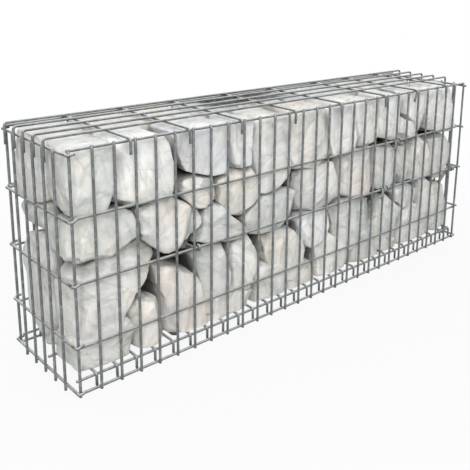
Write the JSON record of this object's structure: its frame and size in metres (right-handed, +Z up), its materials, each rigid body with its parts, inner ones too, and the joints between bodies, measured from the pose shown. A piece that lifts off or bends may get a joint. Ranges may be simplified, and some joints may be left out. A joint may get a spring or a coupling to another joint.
{
  "type": "gabion wall",
  "caption": "Free-standing gabion wall: a long rectangular basket of welded galvanised wire mesh with a bent-over wire lid, packed with large pale broken stones",
  "frame": {"origin": "centre of the footprint at ground level, under the ends of the upright wires", "axes": "+X along the wall from its left end to its right end, +Y from the front panel to the back panel, +Z up"},
  "size_m": [1.0032, 0.224, 0.3884],
  "materials": {
    "galvanised_wire": "weathered zinc coat, dull with a soft sheen",
    "limestone": "rough broken limestone, pale grey with cream and pink veins"
  },
  "bodies": {
    "root": {"front_panel": "galvanised_wire", "back_panel": "galvanised_wire", "left_end_panel": "galvanised_wire", "right_end_panel": "galvanised_wire", "base_panel": "galvanised_wire", "lid_panel": "galvanised_wire", "tie_wire_1": "galvanised_wire", "tie_wire_2": "galvanised_wire", "tie_wire_3": "galvanised_wire", "tie_wire_4": "galvanised_wire", "top_stones_1": "limestone", "top_stones_2": "limestone", "top_stones_3": "limestone", "top_stones_4": "limestone", "upper_stones_1": "limestone", "upper_stones_2": "limestone", "upper_stones_3": "limestone", "upper_stones_4": "limestone", "lower_stones_1": "limestone", "lower_stones_2": "limestone", "lower_stones_3": "limestone", "lower_stones_4": "limestone", "bottom_stones_1": "limestone", "bottom_stones_2": "limestone", "bottom_stones_3": "limestone", "bottom_stones_4": "limestone", "back_top_stones_1": "limestone", "back_top_stones_2": "limestone", "back_upper_stones_1": "limestone", "back_upper_stones_2": "limestone", "back_lower_stones_1": "limestone", "back_lower_stones_2": "limestone", "back_bottom_stones_1": "limestone", "back_bottom_stones_2": "limestone"}
  },
  "joints": []
}
